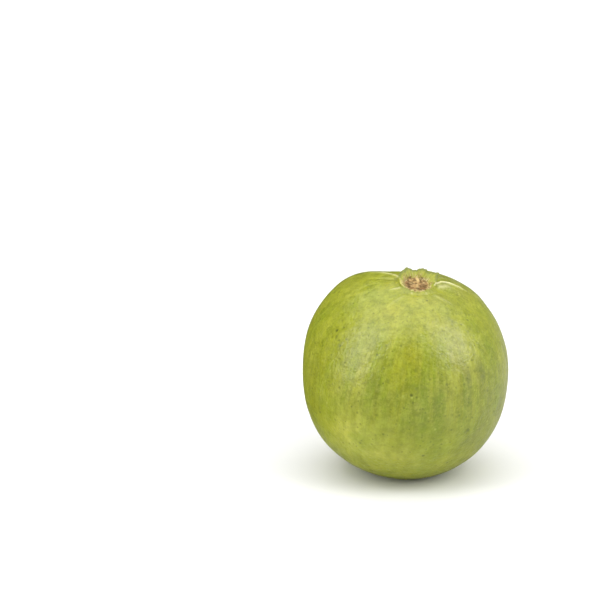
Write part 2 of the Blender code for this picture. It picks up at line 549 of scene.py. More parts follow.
    def grow_crown(self) -> None:
        """Raises the crown's wall to its lobes, and leans, thickens and folds it."""
        form, rise = self.form, self.rise
        self.height = form.crown_height(self.turn)
        self.height = self.height * (1 + self.raggedness * self.ragged_tips.at(self.ring))
        tall = np.clip(self.height / self.full_lobe, 0, 1)
        wall = rise * self.height
        self.points[:, 2] += wall
        blend_end = form.crown_top_inside + self.top_blend
        self.outer = eased(self.radius, form.crown_top_inside, blend_end) * (rise > 0)
        curl = form.crown_flare(self.turn) * wall + self.tip_curl * tall * rise**3
        thick = self.foot_thickness + (1 - self.foot_thickness) * rise
        curl += form.lobe_thickness * tall * self.outer * thick
        fold = self.lobe_folds.at(self.ring * np.array([1, 1, self.fold_pace]))
        curl += self.fold_depth * fold * eased(rise, 0, self.fold_share) * tall
        self.points += self.outward * curl[:, None]

    def grow_disc(self) -> None:
        """Gives the corky disc its grain, its faint star and its marks."""
        edge = self.form.crown_inside
        self.on_disc = eased(self.radius, edge, edge - self.disc_blend) * self.top
        sway = self.star_sway * self.ruffle
        star = waves(self.turn - self.star_turn, self.star_points, sway)
        self.cork = self.cork_grain.at(self.plain)
        relief = self.star_height * star * eased(self.radius, 0, self.star_full)
        relief += self.cork_height * self.cork
        floor = self.top * eased(self.rise, self.fold_share, 0)
        for kind, marks in self.cork_marks.items():
            shade = np.zeros_like(self.radius)
            for mark in marks:
                wide = (self.plain[:, 0] - mark.side) / mark.half_width
                long = (self.plain[:, 1] - mark.back) / mark.half_length
                share = np.exp(-(wide**2) - long**2) * floor
                relief += mark.height * share
                shade = np.maximum(shade, share)
            self.shades[kind] = shade
        self.points[:, 2] += relief * self.on_disc

    def grow_scar(self) -> None:
        """Cracks the dry scar that the stalk left."""
        blend_end = self.scar_edge - self.scar_blend
        self.scar = (~self.top) * eased(self.radius, self.scar_edge, blend_end)
        sway = self.scar_sway * self.scar_waver.at(self.plain)
        depth = self.crack_depth * self.scar_cracks.at(self.plain)
        depth += self.scar_star_depth * waves(self.turn, self.scar_points, sway)
        self.points[:, 2] -= self.scar * depth

    def grow_skin(self) -> None:
        """Raises the skin's ribs, ridges, swells, flutes and lumps."""
        form, radius = self.form, self.radius
        direction = self.points / np.linalg.norm(self.points, axis=1)[:, None]
        self.angle = np.degrees(np.arccos(np.clip(direction[:, 2], -1, 1)))
        ribs = bell(self.angle - form.rib_angle, form.rib_spread)
        ribs = ribs * (2 * form.lobe_shares(self.turn).max(axis=0) - 1)
        ribs = ribs * eased(radius, *self.rib_reach)
        edge = form.crown_top_outside
        clear = eased(radius, edge, edge + self.ridge_blend) * self.top
        # The ridges' crests get a painted highlight.
        ridge, crest_highlight = self.ridge_share()
        self.crest_highlight = crest_highlight * clear
        sway = self.flute_sway * self.flute_waver.at(direction)
        flutes = waves(self.turn, self.flute_count, sway)
        flutes = flutes * bell(self.angle - self.flute_angle, self.flute_spread) * self.flute_height
        skin = eased(radius, *self.skin_reach) * (1 - self.scar)
        lumpy = self.broad_height * self.broad_lumps.at(direction)
        lumpy += self.small_height * self.small_lumps.at(direction)
        folds = waves(self.turn, self.stem_folds, self.stem_sway * self.stem_waver.at(direction))
        folds = folds * bell(radius - self.stem_radius, self.stem_spread)
        folds = folds * (~self.top) * self.stem_height
        rises = form.rib_height * ribs + form.swell_rise(direction)
        rises += ridge * clear + skin * (flutes + lumpy + folds)
        self.points += direction * rises[:, None]

    def ridge_share(self) -> tuple[np.ndarray, np.ndarray]:
        """How far the narrow ridges raise the skin, and where the painted highlights on their crests
        lie.

        Returns:
            The rise of each point, and 0 to 1 for how strongly a ridge's painted highlight lies on
            it.
        """
        rise, crest_highlight = np.zeros_like(self.angle), np.zeros_like(self.angle)
        for ridge in self.ridges:
            angles = np.array([place[0] for place in ridge.route], dtype=float)
            turns = np.unwrap([place[1] for place in ridge.route], period=360)
            middle = np.interp(self.angle, angles, turns)
            arc = np.radians(turn_between(self.turn, middle)) * np.sin(np.radians(self.angle))
            first, last = angles[0], angles[-1]
            fade = last - (last - first) * self.ridge_fade
            along = eased(self.angle, first, first + self.ridge_start)
            along = along * eased(self.angle, last, fade)
            share = bell(arc * self.form.pole_radius, ridge.width) * along
            rise += ridge.height * share
            crest_highlight = np.maximum(crest_highlight, share**2 * ridge.paleness)
        return rise, crest_highlight

    def straw_rim(self, worn: np.ndarray) -> np.ndarray:
        """Marks the pale rim round the disc, which is widest in front.

        Args:
            worn: how far the crown is worn down at each point, from 0 to 1.

        Returns:
            How much each point belongs to the pale rim, from 0 to 1.
        """
        end = self.rim_outside + self.rim_ruffle * self.ruffle
        for turn, spread, width in self.rim_wide:
            end += width * bell(self.turn - turn, spread)
        inside = eased(self.radius, *self.rim_inside)
        return eased(end - self.radius, 0, self.rim_blend) * worn * inside * self.top

    def girth(self, calm: np.ndarray) -> np.ndarray:
        """Says how strongly the skin is streaked.

        Args:
            calm: how low down each point lies, where the skin is calmer, from 0 to 1.

        Returns:
            The strength at each point: less at both ends, low down and on its upper sides.
        """
        quiet = np.zeros_like(calm)
        for turn, spread, strength in self.quiet_sides:
            quiet += strength * bell(turn_between(self.turn, turn), spread)
        girth = eased(self.angle, *self.streaks_start) * eased(self.angle, *self.streaks_end)
        return girth * (1 - self.calming * calm) * (1 - quiet * (1 - calm))

    def masks(self) -> dict[str, np.ndarray]:
        """Marks what each point of the skin belongs to.

        Returns:
            A number from 0 to 1 for each point, by attribute name.
        """
        radius, rise, height = self.radius, self.rise, self.height
        bowl = self.top & (radius < self.form.crown_top_outside) & (radius > self.rim_inside[0])
        worn = eased(height, *self.worn_height)
        calm = eased(self.angle, *self.calm_reach)
        cork_edge = self.form.disc_radius * (self.cork_spread + self.cork_ruffle * self.ruffle)
        # painted shade in the pits and grain hollows, over dark dried tissue
        char = self.grain_char * eased(self.cork, *self.shaded_grain) * self.on_disc
        char += self.pit_char * self.shades[Cork.PIT]
        lobe = eased(rise - self.lobe_starts * self.outer, 0, self.lobe_shows)
        values = {
            Mask.LOBE: lobe * eased(height, *self.lobe_height),
            Mask.EDGE: eased(rise, *self.tip_share) * eased(height, *self.tip_height),
            Mask.FOOT: (1 - self.outer) * bowl * (1 - worn) * eased(rise, *self.foot_share),
            Mask.RIM: self.straw_rim(worn),
            Mask.DISC: eased(cork_edge - radius, 0, self.cork_blend) * self.top,
            Mask.BROWN: self.shades[Cork.BROWN],
            Mask.STRAW: self.shades[Cork.STRAW],
            Mask.HOLLOW_SHADE: np.clip(char, 0, 1),
            Mask.CREST_HIGHLIGHT: self.crest_highlight,
            Mask.SCAR: self.scar,
            Mask.GIRTH: self.girth(calm),
            Mask.CALM: calm,
        }
        for tint, patches in self.patches.items():
            total = np.zeros_like(radius)
            for patch in patches:
                along = (self.angle - patch.angle) / patch.along
                across = np.abs(turn_between(self.turn, patch.turn)) / patch.across
                total += patch.strength * np.exp(-(along**2) - across**3)
            values[tint] = np.clip(total, 0, 1)
        return {name.value: value for name, value in values.items()}


class Fruit:
    """The whole fruit's mesh: rings of points, turned, grown and rested on its spot."""

    turn_steps = 336
    disc_rings = 34
    gutter_rings = 4
    wall_rings = 13
    rounding_rings = 5
    collar_rings = 26
    belly_rings = 148
    dimple_rings = 16
    scar_rings = 12
    bank_start = 0.72  # share of the disc's radius where its raised edge begins
    wall_straight = 0.94  # share of the wall's height that is below its rounded top
    wall_spread, wall_fall = 1.5, 1.9  # how the rings of the wall's outer side crowd at its top
    collar_end = 0.0210  # radius where the fine rings round the calyx meet the belly's
    collar_crowding = 1.35
    dimple_full, scar_full = 1 / 1.1, 0.2  # shares of the way in where each is at its full height
    scar_hollow = 0.5  # share of the scar's rise that is lost in its middle
    rest_softness = 0.00004  # how gently the pressed spot runs into the round skin

    def __init__(self, form: FruitForm) -> None:
        """Keeps the form and starts with no mesh."""
        self.form = form
        self.lift = 0.0

    def disc_profile(self) -> Profile:
        """Draws the disc and the gutter round it, from the axis outwards.

        Returns:
            Radius, height and share of the crown, one for each ring.
        """
        form = self.form
        points = []
        for share in shares(self.disc_rings, 0):
            bank = eased(share, self.bank_start)
            height = form.disc_height() + form.disc_rim * bank
            points.append((form.disc_radius * share, height, 0.0))
        top, foot = points[-1][1], form.crown_base(form.crown_inside)
        for share in shares(self.gutter_rings)[:-1]:
            radius = form.disc_radius + (form.crown_inside - form.disc_radius) * share
            points.append((radius, top + (foot - top) * share, 0.0))
        return points

    def crown_profile(self) -> Profile:
        """Draws the crown's wall: up its inner side, over its top and down its outer side.

        Returns:
            Radius, height and share of the crown, one for each ring.
        """
        form = self.form
        points = []
        for share in shares(self.wall_rings, 0)[:-1]:
            lean = (form.crown_top_inside - form.crown_inside) * eased(share)
            points.append((form.crown_inside + lean, share * self.wall_straight))
        half = (form.crown_top_outside - form.crown_top_inside) / 2
        for share in shares(self.rounding_rings, 0):
            radius = form.crown_top_inside + half - half * math.cos(math.pi * share)
            rounding = (1 - self.wall_straight) * math.sin(math.pi * share)
            points.append((radius, self.wall_straight + rounding))
        for share in shares(self.wall_rings):
            spread = (form.crown_outside - form.crown_top_outside) * share**self.wall_spread
            fall = self.wall_straight * (1 - share) ** self.wall_fall
            points.append((form.crown_top_outside + spread, fall))
        return [(radius, form.crown_base(radius), rise) for radius, rise in points]

    def skin_profile(self) -> Profile:
        """Draws the skin from the crown's foot to the edge of the stem dimple.

        Returns:
            Radius, height and share of the crown, one for each ring.
        """
        form = self.form
        points = []
        for share in shares(self.collar_rings):
            reach = (self.collar_end - form.crown_outside) * share**self.collar_crowding
            radius = form.crown_outside + reach
            points.append((radius, form.skin_height(radius), 0.0))
        first = math.atan2(self.collar_end, form.skin_height(self.collar_end))
        last = math.pi - math.atan2(form.dimple_radius, form.skin_height(form.dimple_radius))
        for share in shares(self.belly_rings):
            points.append((*form.body_point(first + (last - first) * share), 0.0))
        return points

    def stem_profile(self) -> Profile:
        """Draws the dimple and the scar in its middle, ending on the axis.

        Returns:
            Radius, height and share of the crown, one for each ring.
        """
        form = self.form
        points = []
        for share in shares(self.dimple_rings):
            radius = form.dimple_radius - (form.dimple_radius - form.scar_radius) * share
            sink = form.dimple_depth * eased(share, 0, self.dimple_full)
            points.append((radius, sink - form.skin_height(radius), 0.0))
        floor = points[-1][1]
        for share in shares(self.scar_rings):
            rise = form.scar_rise * eased(share, 0, self.scar_full)
            rise = rise * (1 - self.scar_hollow * share)
            points.append((form.scar_radius * (1 - share), floor - rise, 0.0))
        return points

    def turned(self) -> bpy.types.Object:
        """Turns the whole profile round the fruit's axis.

        Returns:
            A closed object, whose points carry their share of the crown's wall as "rise".
        """
        outline = self.disc_profile() + self.crown_profile()
        outline += self.skin_profile() + self.stem_profile()
        bm = bmesh.new()
        rise = bm.verts.layers.float.new("rise")
        line = []
        for radius, height, share in outline:
            line.append(bm.verts.new((radius, 0.0, height)))
            line[-1][rise] = share
        edges = [bm.edges.new(pair) for pair in zip(line, line[1:])]
        bmesh.ops.spin(
            bm,
            geom=line + edges,
            cent=(0, 0, 0),
            axis=(0, 0, 1),
            dvec=(0, 0, 0),
            angle=2 * math.pi,
            steps=self.turn_steps,
            use_merge=True,
        )
        bmesh.ops.remove_doubles(bm, verts=bm.verts, dist=WELD)
        bmesh.ops.recalc_face_normals(bm, faces=bm.faces)
        return finished(bm, "guava_fruit")

    def build(self) -> bpy.types.Object:
        """Makes the fruit, with its masks and its own coordinates.

        Returns:
            The fruit's object, at the origin, with its place in its mesh.
        """
        fruit = self.turned()
        mesh = fruit.data
        plain, rise = np.empty(len(mesh.vertices) * 3), np.empty(len(mesh.vertices))
        mesh.vertices.foreach_get("co", plain)
        mesh.attributes["rise"].data.foreach_get("value", rise)
        mesh.attributes.remove(mesh.attributes["rise"])
        plain = plain.reshape(-1, 3)
        growth = Growth(self.form, plain, rise)
        radius, around = polar(plain)
        meridian = [np.cos(around), np.sin(around), np.arctan2(radius, plain[:, 2])]

        leaned = growth.points @ np.array(self.form.lean_matrix()).T
        self.lift = -leaned[:, 2].min() - self.form.spot_depth
        height = leaned[:, 2] + self.lift
        leaned[:, 2] = (height + np.sqrt(height**2 + self.rest_softness**2)) / 2
        mesh.vertices.foreach_set("co", leaned.ravel())
        for name, values in growth.masks().items():
            mesh.attributes.new(name, "FLOAT", "POINT").data.foreach_set("value", values)
        for name, values in ((Own.PLACE, growth.points), (Own.MERIDIAN, np.stack(meridian, -1))):
            layer = mesh.attributes.new(name.value, "FLOAT_VECTOR", "POINT")
            layer.data.foreach_set("vector", values.ravel())
        mesh.update()
        return fruit


class Desk:
    """Adds nodes to one material, world or group and links them."""

    def __init__(self, tree: bpy.types.NodeTree) -> None:
        """Works on this node tree."""
        self.tree = tree

    def add(self, kind: str, **settings: object) -> bpy.types.Node:
        """Adds a node.

        Args:
            kind: the node's type, without ShaderNode in front.
            **settings: its properties, by name.

        Returns:
            The new node.
        """
        node = self.tree.nodes.new("ShaderNode" + kind)
        for name, value in settings.items():
            setattr(node, name, value)
        return node

    def feed(self, socket: Socket, value: object) -> None:
        """Links a socket to this one, or sets this one's own value.

        Args:
            socket: the input that is fed.
            value: the output to link to it, or the value that it takes.
        """
        if isinstance(value, Socket):
            self.tree.links.new(value, socket)
        else:
            socket.default_value = (*value, 1.0) if socket.type == "RGBA" else value

    def fill(self, node: bpy.types.Node, **inputs: object) -> bpy.types.Node:
        """Feeds a node's inputs by name, with _ for a space, and hands the node back."""
        for name, value in inputs.items():
            self.feed(node.inputs[name.replace("_", " ")], value)
        return node

    def calc(self, operation: str, *values: object) -> Socket:
        """Adds a Math node.

        Args:
            operation: what the Math node does.
            *values: its inputs, in order.

        Returns:
            Its result.
        """
        node = self.add("Math", operation=operation)
        for socket, value in zip(node.inputs, values):
            self.feed(socket, value)
        return node.outputs[0]

    def mixed(self, share: object, first: object, second: object) -> Socket:
        """Lays one colour over another.

        Args:
            share: how much of the second colour shows, from 0 to 1.
            first: the colour underneath.
            second: the colour laid over it.

        Returns:
            The mixed colour.
        """
        node = self.add("Mix", data_type="RGBA")
        for socket, value in zip((node.inputs[0], *node.inputs[6:8]), (share, first, second)):
            self.feed(socket, value)
        return node.outputs[2]

    def eased(self, value: object, low: object, high: object) -> Socket:
        """The value brought smoothly from 0 at low to 1 at high."""
        node = self.add("MapRange", interpolation_type="SMOOTHSTEP")
        return self.fill(node, Value=value, From_Min=low, From_Max=high).outputs["Result"]

    def attribute(self, name: Enum, output: str = "Fac") -> Socket:
        """A value that the piece's mesh carries."""
        return self.add("Attribute", attribute_name=name.value).outputs[output]

    def axes(self, place: Socket) -> bpy.types.NodeOutputs:
        """X, Y and Z of these coordinates."""
        return self.fill(self.add("SeparateXYZ"), Vector=place).outputs

    def bumped(self, height: Socket, strength: float, distance: float) -> Socket:
        """The normal of a surface with this relief."""
        node = self.add("Bump")
        return self.fill(node, Height=height, Strength=strength, Distance=distance).outputs[0]


class Effects:
    """The surface effects that several finishes share, each one node group."""

    dot_least = 0.5  # the smallest dot, as a share of the size that is asked for
    dot_core = 0.25  # the share of a dot that has its full strength
    dot_varies, dot_always = 0.6, 0.4  # what differs between dots, and what each has
    wobble_scale, wobble, wobble_least = 1400.0, 1.2, 0.4  # how uneven a spot's edge is
    spot_fade = (1.0, 0.3)  # from a spot's edge inwards
    pore_fade = (0.0, 0.55)

    def __init__(self) -> None:
        """Builds every group once."""
        self.blotches = self.blotch_group()
        self.speckles = self.speckle_group()
        self.spot = self.spot_group()
        self.grain = self.grain_group()

    @staticmethod
    def start(
        name: str, inputs: str, outputs: str
    ) -> tuple[Desk, bpy.types.NodeOutputs, bpy.types.Node]:
        """A new shader node group with its sockets.

        Args:
            name: the group's name.
            inputs: the inputs' names. Place and Centre are vectors and the others are numbers.
            outputs: the outputs' names, which are all numbers.

        Returns:
            A desk to add the group's nodes with, its inputs by name, and its output node.
        """
        tree = bpy.data.node_groups.new(name, "ShaderNodeTree")
        for side, names in (("INPUT", inputs), ("OUTPUT", outputs)):
            for socket in names.split():
                kind = "Vector" if socket in ("Place", "Centre") else "Float"
                tree.interface.new_socket(
                    name=socket, in_out=side, socket_type="NodeSocket" + kind
                )
        given, out = tree.nodes.new("NodeGroupInput"), tree.nodes.new("NodeGroupOutput")
        return Desk(tree), given.outputs, out

    def blotch_group(self) -> bpy.types.NodeTree:
        """Builds soft uneven blotches, as a mask.

        Returns:
            The node group.
        """
        desk, given, out = self.start("blotches", "Place Scale Low High", "Mask")
        noisy = desk.add("TexNoise")
        desk.fill(noisy, Vector=given["Place"], Scale=given["Scale"], Detail=4.0, Roughness=0.6)
        desk.fill(out, Mask=desk.eased(noisy.outputs["Fac"], given["Low"], given["High"]))
        return desk.tree

    def speckle_group(self) -> bpy.types.NodeTree:
        """Builds small scattered dots of uneven strength, as a mask.

        Returns:
            The node group.
        """
        desk, given, out = self.start("speckles", "Place Scale Size Share", "Mask")
        cells = desk.fill(desk.add("TexVoronoi"), Vector=given["Place"], Scale=given["Scale"])
        chance = desk.fill(desk.add("SeparateColor"), Color=cells.outputs["Color"])
        pick, swell, strong = chance.outputs
        size = desk.calc("MULTIPLY", given["Size"], swell)
        size = desk.calc("MULTIPLY_ADD", given["Size"], self.dot_least, size)
        core = desk.calc("MULTIPLY", size, self.dot_core)
        dot = desk.eased(cells.outputs["Distance"], size, core)
        chosen = desk.calc("LESS_THAN", pick, given["Share"])
        strength = desk.calc("MULTIPLY_ADD", strong, self.dot_varies, self.dot_always)
        desk.fill(out, Mask=desk.calc("MULTIPLY", dot, desk.calc("MULTIPLY", chosen, strength)))
        return desk.tree

    def spot_group(self) -> bpy.types.NodeTree:
        """Builds one small mark with an uneven edge, as a mask.

        Returns:
            The node group.
        """
        desk, given, out = self.start("spot", "Place Centre Radius", "Mask")
        away = desk.add("VectorMath", operation="DISTANCE")
        desk.feed(away.inputs[0], given["Place"])
        desk.feed(away.inputs[1], given["Centre"])
        noisy = desk.fill(desk.add("TexNoise"), Vector=given["Place"], Scale=self.wobble_scale)
        uneven = desk.calc("MULTIPLY_ADD", noisy.outputs["Fac"], self.wobble, self.wobble_least)
        share = desk.calc("DIVIDE", away.outputs["Value"], given["Radius"])
        desk.fill(out, Mask=desk.eased(desk.calc("MULTIPLY", share, uneven), *self.spot_fade))
        return desk.tree

    def grain_group(self) -> bpy.types.NodeTree:
        """Builds fine grain and pores, as a value about a half and as a height.

        Returns:
            The node group.
        """
        desk, given, out = self.start("fine_grain", "Place Scale Pores", "Value Height")
        fine = desk.fill(desk.add("TexNoise"), Detail=5.0, Roughness=0.65)
        cells = desk.add("TexVoronoi", feature="SMOOTH_F1")
        for node in (fine, cells):
            desk.fill(node, Vector=given["Place"], Scale=given["Scale"])
        pores = desk.eased(cells.outputs["Distance"], *self.pore_fade)
        height = desk.calc("MULTIPLY_ADD", pores, given["Pores"], fine.outputs["Fac"])
        desk.fill(out, Value=fine.outputs["Fac"], Height=height)
        return desk.tree


class Coat:
    """One material while it is made: its desk, its shader, its place and its colour so far."""

    def __init__(
        self, name: str, effects: Effects, colour: Colour, own: Own | None = None
    ) -> None:
        """Starts a material with nothing laid on.

        Args:
            name: the material's name.
            effects: the shared node groups.
            colour: its colour under everything that is laid on.
            own: the coordinates of the mesh that it follows, or None for Object coordinates.
        """
        self.material = bpy.data.materials.new(name)
        self.material.use_nodes = True
        self.material.node_tree.nodes.clear()
        self.desk = Desk(self.material.node_tree)
        self.shader = self.desk.add("BsdfPrincipled")
        self.desk.fill(self.desk.add("OutputMaterial"), Surface=self.shader.outputs["BSDF"])
        self.effects = effects
        self.colour: object = colour
        if own is None:
            self.place = self.desk.add("TexCoord").outputs["Object"]
        else:
            self.place = self.desk.attribute(own, "Vector")

    def group(self, tree: bpy.types.NodeTree, **inputs: object) -> bpy.types.NodeOutputs:
        """The outputs of a shared effect, which lies on the coat's own place unless given one."""
        inputs = {"Place": self.place, **inputs}
        return self.desk.fill(self.desk.add("Group", node_tree=tree), **inputs).outputs

    def blotches(self, scale: float, low: float, high: float, **place: Socket) -> Socket:
        """The mask of soft blotches, which start at low and are full at high."""
        return self.group(self.effects.blotches, Scale=scale, Low=low, High=high, **place)[0]

    def lay(self, tone: object, mask: Socket, amount: object, within: object = None) -> None:
        """Lays a tone over the colour so far.

        Args:
            tone: the colour to lay on.
            mask: where it shows.
            amount: how strongly.
            within: a second mask, if it is kept to a part of the piece.
        """
        share = self.desk.calc("MULTIPLY", mask, amount)
        if within is not None:
            share = self.desk.calc("MULTIPLY", share, within)
        self.colour = self.desk.mixed(share, self.colour, tone)


@dataclass(frozen=True)
class DriedStamens:
    """The short dried stamens that still stand in a ring round the disc's edge."""

    count: int = 110
    seed: int = 5
    sides: int = 5
    steps: int = 5
    ring: Range = (0.0040, 0.0050)
    length: Range = (0.0007, 0.0020)
    thickness: Range = (0.00006, 0.00014)
    rise: Range = (0, 50)
    swing: float = 28
    curl: Range = (-70, 10)
    taper: float = 0.6
    flatness: float = 0.7
    root: float = 0.00015  # how deep each one is set into the disc
    above: float = 0.06  # where the rays that find the skin start

    def spine(self, rng: np.random.Generator, surface: BVHTree) -> list[Vector]:
        """The middle line of one stamen, from its root to its tip.

        Args:
            rng: the seeded source of chance.
            surface: the fruit's skin in the fruit's own frame.

        Returns:
            The points of the line, kept above the skin.
        """
        turn = math.radians(rng.uniform(0, 360))
        reach = rng.uniform(*self.ring)
        point = Vector((reach * math.cos(turn), reach * math.sin(turn), self.above))
        point.z = surface.ray_cast(point, Vector((0, 0, -1)))[0].z - self.root
        heading = turn + math.radians(rng.uniform(-self.swing, self.swing))
        slope = math.radians(rng.uniform(*self.rise))
        bend = math.radians(rng.uniform(*self.curl)) / self.steps
        stride = rng.uniform(*self.length) / self.steps
        points = [point]
        for _ in range(self.steps):
            level = Vector((math.cos(heading), math.sin(heading), 0)) * math.cos(slope)
            point = point + (level + Vector((0, 0, math.sin(slope)))) * stride
            over = Vector((point.x, point.y, self.above))
            hit = surface.ray_cast(over, Vector((0, 0, -1)))[0]
            if hit is not None and point.z < hit.z:
                point.z = hit.z + self.thickness[0] / 2
            points.append(point)
            slope += bend
        return points

    def tube(self, bm: bmesh.types.BMesh, points: list[Vector], radius: float) -> None:
        """Adds one tapered closed tube along a stamen's line.

        Args:
            bm: the bmesh that gets the tube.
            points: the line, from the root to the tip.
            radius: the tube's radius at the root.
        """
        places = []
        for index, point in enumerate(points):
            ahead = points[min(index + 1, len(points) - 1)]
            behind = points[max(index - 1, 0)]
            turn = (ahead - behind).to_track_quat("Z", "Y").to_matrix().to_4x4()
            width = radius * (1 - self.taper * index / (len(points) - 1))
            size = Matrix.Diagonal((width, width * self.flatness, width, 1.0))
            places.append(Matrix.Translation(point) @ turn @ size)
        made = bmesh.ops.create_circle(
            bm, cap_ends=True, segments=self.sides, radius=1.0, matrix=places[0]
        )
        cap = made["verts"][0].link_faces[0]
        inner = []
        for before, after in zip(places, places[1:]):
            made = bmesh.ops.extrude_face_region(bm, geom=[cap])
            cap = next(part for part in made["geom"] if isinstance(part, bmesh.types.BMFace))
            inner.append(cap)
            move = after @ before.inverted()
            bmesh.ops.transform(bm, matrix=move, verts=list(cap.verts))
        bmesh.ops.delete(bm, geom=inner[:-1], context="FACES_ONLY")

    def build(self, fruit: bpy.types.Object, form: FruitForm, lift: float) -> bpy.types.Object:
        """Makes all the stamens as one object.

        Args:
            fruit: the fruit that they stand on.
            form: the fruit's shape, which gives its lean.
            lift: how high the fruit's centre is.

        Returns:
            The stamens' object, at the origin.
        """
        upright = form.lean_matrix().inverted().to_4x4() @ Matrix.Translation((0, 0, -lift))
        points = [upright @ vert.co for vert in fruit.data.vertices]
        faces = [tuple(face.vertices) for face in fruit.data.polygons]
        surface = BVHTree.FromPolygons(points, faces)
        rng = np.random.default_rng(self.seed)
        bm = bmesh.new()
        for _ in range(self.count):
            self.tube(bm, self.spine(rng, surface), rng.uniform(*self.thickness))
        bmesh.ops.recalc_face_normals(bm, faces=bm.faces)
        bmesh.ops.transform(bm, matrix=upright.inverted(), verts=bm.verts)
        return finished(bm, "dried_stamens")


@dataclass(frozen=True)
class SkinFinish:
    """Mottled, waxy, yellow-green skin that turns to leathery lobes, cork and a dry scar. Some of
    its tones are painted light: shade down its left side, sheen, highlights along its ridges and
    shade in the disc's hollows.
    """

    base: Colour = (0.306, 0.332, 0.013)
    yellow: Colour = (0.292, 0.300, 0.001)
    green: Colour = (0.190, 0.264, 0.004)
    grey: Colour = (0.150, 0.172, 0.036)
    olive: Colour = (0.180, 0.194, 0.003)
    # Pale skin in the streaks; where the pale tint lies it is partly painted sheen and painted
    # bounce light.
    pale: Colour = (0.46, 0.470, 0.060)
    # Painted sheen: the greyish beige of the soft boxes' reflections.
    painted_sheen_beige: Colour = (0.290, 0.280, 0.052)
    warm: Colour = (0.41, 0.384, 0.030)
    streak: Colour = (0.42, 0.44, 0.060)
    dark_streak: Colour = (0.145, 0.172, 0.003)
    dot: Colour = (0.060, 0.078, 0.002)
    halo: Colour = (0.46, 0.48, 0.10)
    brown: Colour = (0.12, 0.080, 0.014)
    # Painted highlight along the ridges' crests, over skin worn pale.
    crest_highlight: Colour = (0.78, 0.745, 0.40)
    lobe: Colour = (0.42, 0.415, 0.050)
    lobe_edge: Colour = (0.12, 0.15, 0.010)
    lobe_foot: Colour = (0.48, 0.43, 0.08)
    cork_rim: Colour = (0.66, 0.60, 0.22)
    rim_shade: Colour = (0.30, 0.22, 0.045)
    cork: Colour = (0.36, 0.197, 0.056)
    cork_brown: Colour = (0.145, 0.066, 0.010)
    cork_pale: Colour = (0.64, 0.48, 0.20)
    # Dark brown of the scar's dried tissue, and of the disc's pits and grain hollows, where it is
    # partly painted shade.
    char: Colour = (0.115, 0.062, 0.004)
    scar: Colour = (0.22, 0.15, 0.075)
    streak_stretch: float = 0.17  # pace of the streaks along the meridians, as a share of across
    waver: tuple[float, float] = (0.7, 0.45)  # how unevenly a broad tone lies, and its least
    calm_loss: float = 0.6  # the share of the mottling that calm skin loses
    cork_grain: tuple[float, float] = (0.35, 0.65)  # the part of the grain that tones the cork
    grain_in_cork: float = 0.6
    grain_in_brown: float = 0.5
    fibres_in_rim: float = 0.9
    fibres_in_lobe: float = 0.6
    roughness: float = 0.34
    wax_roughness: float = 0.10  # how much rougher the wax is where it is thick
    cork_roughness: float = 0.4
    coarse_share: float = 0.8  # how much the coarse grain adds to the fine one
    bump: float = 0.6
    bump_depth: float = 0.0002
    specular: float = 0.62
    subsurface: float = 0.12
    subsurface_scale: float = 0.003
    subsurface_radius: Colour = (1.0, 0.9, 0.25)
    blemishes: tuple[Blemish, ...] = (
        Blemish(52, 207, 0.0009, 0.9), Blemish(54.5, 210, 0.0012, 0.45),
        Blemish(55, 214, 0.0007, 0.5), Blemish(52, 219, 0.0006, 0.45),
        Blemish(57, 217, 0.0006, 0.45), Blemish(70, 270, 0.0009, 0.8),
        Blemish(71, 273, 0.0006, 0.5), Blemish(16, 290, 0.0009, 0.7),
        Blemish(95, 306, 0.0011, 0.55), Blemish(87, 241, 0.0006, 0.5),
        Blemish(60, 120, 0.0009, 0.7), Blemish(102, 60, 0.0011, 0.6),
    )

    def lay_ground(self, coat: Coat, streaks: Socket) -> None:
        """Lays the skin's broad tones and its streaks. Some of the tones are painted shade and
        painted sheen.

        Args:
            coat: the skin's material.
            streaks: coordinates that are stretched along the fruit's meridians.
        """
        desk = coat.desk
        waver = desk.calc("MULTIPLY_ADD", coat.blotches(140.0, 0.3, 0.7), *self.waver)
        for tint, tone in (
            (Tint.YELLOW_AND_SIDE_SHADE, self.yellow),
            (Tint.GREEN, self.green),
            (Tint.OLIVE_AND_SIDE_SHADE, self.olive),
            (Tint.GREY, self.grey),
            (Tint.PALE_AND_SHEEN, self.pale),
            (Tint.PAINTED_SHEEN, self.painted_sheen_beige),
            (Tint.WARM, self.warm),
        ):
            coat.lay(tone, desk.attribute(tint), waver)
        coat.lay(self.green, coat.blotches(95.0, 0.42, 0.68), 0.45)
        girth = desk.attribute(Mask.GIRTH)
        for scale, low, high, tone, amount in (
            (4.2, 0.46, 0.60, self.pale, 0.50),
            (5.5, 0.46, 0.60, self.green, 0.75),
            (8.5, 0.48, 0.64, self.yellow, 0.60),
            (12.0, 0.48, 0.66, self.dark_streak, 0.60),
            (19.0, 0.48, 0.66, self.streak, 0.36),
            (31.0, 0.48, 0.66, self.dark_streak, 0.38),
            (47.0, 0.48, 0.66, self.streak, 0.20),
            (60.0, 0.48, 0.66, self.dark_streak, 0.22),
        ):
            coat.lay(tone, coat.blotches(scale, low, high, Place=streaks), amount, girth)
        ends = desk.calc("SUBTRACT", 1.0, girth)
        for scale, tone in ((210.0, self.dark_streak), (270.0, self.streak)):
            coat.lay(tone, coat.blotches(scale, 0.46, 0.66), 0.42, ends)

